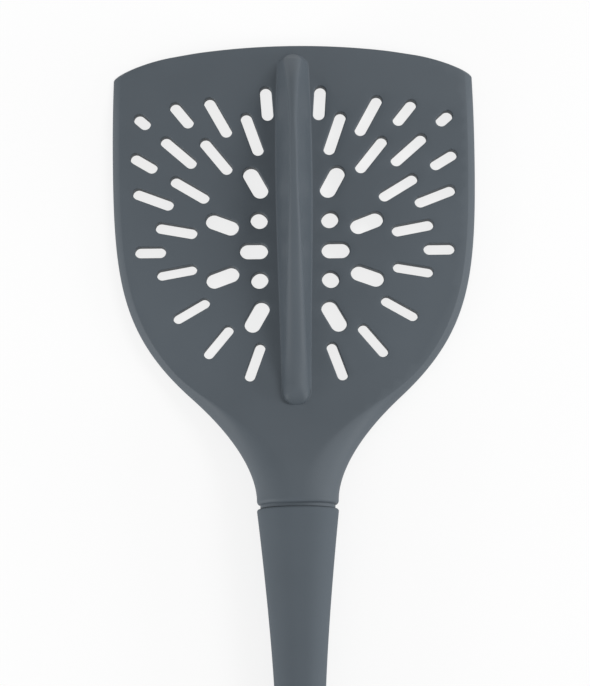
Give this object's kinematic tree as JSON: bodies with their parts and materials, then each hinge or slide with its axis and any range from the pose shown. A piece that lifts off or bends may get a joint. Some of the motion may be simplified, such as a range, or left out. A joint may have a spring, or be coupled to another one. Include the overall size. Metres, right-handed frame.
{
  "type": "ground meat chopper",
  "caption": "Slotted silicone-covered paddle with a tall central chopping fin and a bevelled edge, on a tapered soft-grip handle with a hang hole.",
  "frame": {"origin": "on the surface that the tool lies on, under the middle of its length and width", "axes": "+Y along the tool from the butt of the handle to the chopping edge, +X across the head, +Z out of the fin side"},
  "size_m": [0.098, 0.3165, 0.022],
  "materials": {
    "head_silicone": "matte slate-grey moulded silicone",
    "grip_silicone": "matte slate-grey moulded silicone",
    "core_nylon": "dark grey glass-filled nylon",
    "pin_steel": "ground stainless steel"
  },
  "bodies": {
    "root": {"head_core": "core_nylon", "head_skin": "head_silicone", "handle_core": "core_nylon", "tang_pin": "pin_steel", "grip_sleeve": "grip_silicone"}
  },
  "joints": []
}
